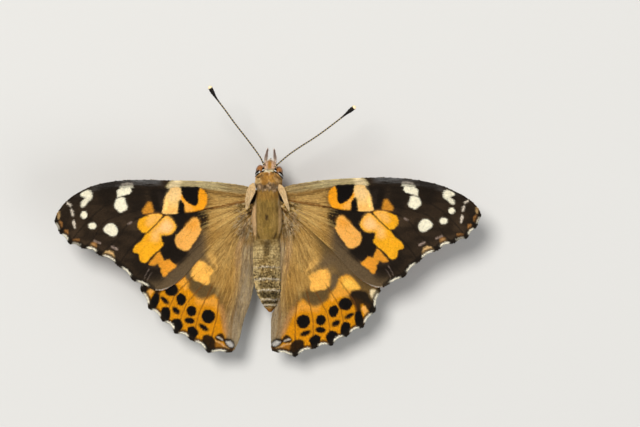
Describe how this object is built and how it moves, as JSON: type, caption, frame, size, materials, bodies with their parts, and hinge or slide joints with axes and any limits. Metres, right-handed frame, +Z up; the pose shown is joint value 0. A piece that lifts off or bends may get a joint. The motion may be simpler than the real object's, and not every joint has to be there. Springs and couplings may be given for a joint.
{
  "type": "painted lady butterfly model",
  "caption": "Life-size painted lady butterfly with spread wings, raised antennae and coiled proboscis, standing on its four walking legs.",
  "frame": {"origin": "middle of the bottom of the model's box, on the floor under the body", "axes": "+X to the butterfly's right along the wing span, +Y towards its head, +Z up"},
  "size_m": [0.0638, 0.0402, 0.0132],
  "materials": {
    "forewing_membrane": "dry powdery scales, blackish brown with orange and white patches",
    "hindwing_membrane": "dry powdery scales, orange with brown base and black spots",
    "head_hair": "short orange-brown hair",
    "collar_hair": "short brown hair",
    "thorax_hair": "soft olive-brown hair over dark skin",
    "tegula_scales": "cream hair-scales",
    "abdomen_scales": "ochre scales with paler rings",
    "compound_eye": "glossy finely faceted red-brown",
    "antenna_scales": "dark brown with pale rings",
    "palp_hair": "greyish hair-scales",
    "proboscis_chitin": "smooth dark chitin",
    "leg_scales": "pale brown scales"
  },
  "bodies": {
    "root": {"forewing_left": "forewing_membrane", "forewing_right": "forewing_membrane", "hindwing_left": "hindwing_membrane", "hindwing_right": "hindwing_membrane", "head": "head_hair", "prothorax": "collar_hair", "thorax": "thorax_hair", "tegula_left": "tegula_scales", "tegula_right": "tegula_scales", "abdomen": "abdomen_scales", "eye_left": "compound_eye", "eye_right": "compound_eye", "antenna_left": "antenna_scales", "antenna_right": "antenna_scales", "palp_left": "palp_hair", "palp_right": "palp_hair", "proboscis": "proboscis_chitin", "foreleg_left": "leg_scales", "foreleg_right": "leg_scales", "midleg_femur_left": "leg_scales", "midleg_femur_right": "leg_scales", "midleg_tibia_left": "leg_scales", "midleg_tibia_right": "leg_scales", "midleg_tarsus_left": "leg_scales", "midleg_tarsus_right": "leg_scales", "hindleg_femur_left": "leg_scales", "hindleg_femur_right": "leg_scales", "hindleg_tibia_left": "leg_scales", "hindleg_tibia_right": "leg_scales", "hindleg_tarsus_left": "leg_scales", "hindleg_tarsus_right": "leg_scales"}
  },
  "joints": []
}
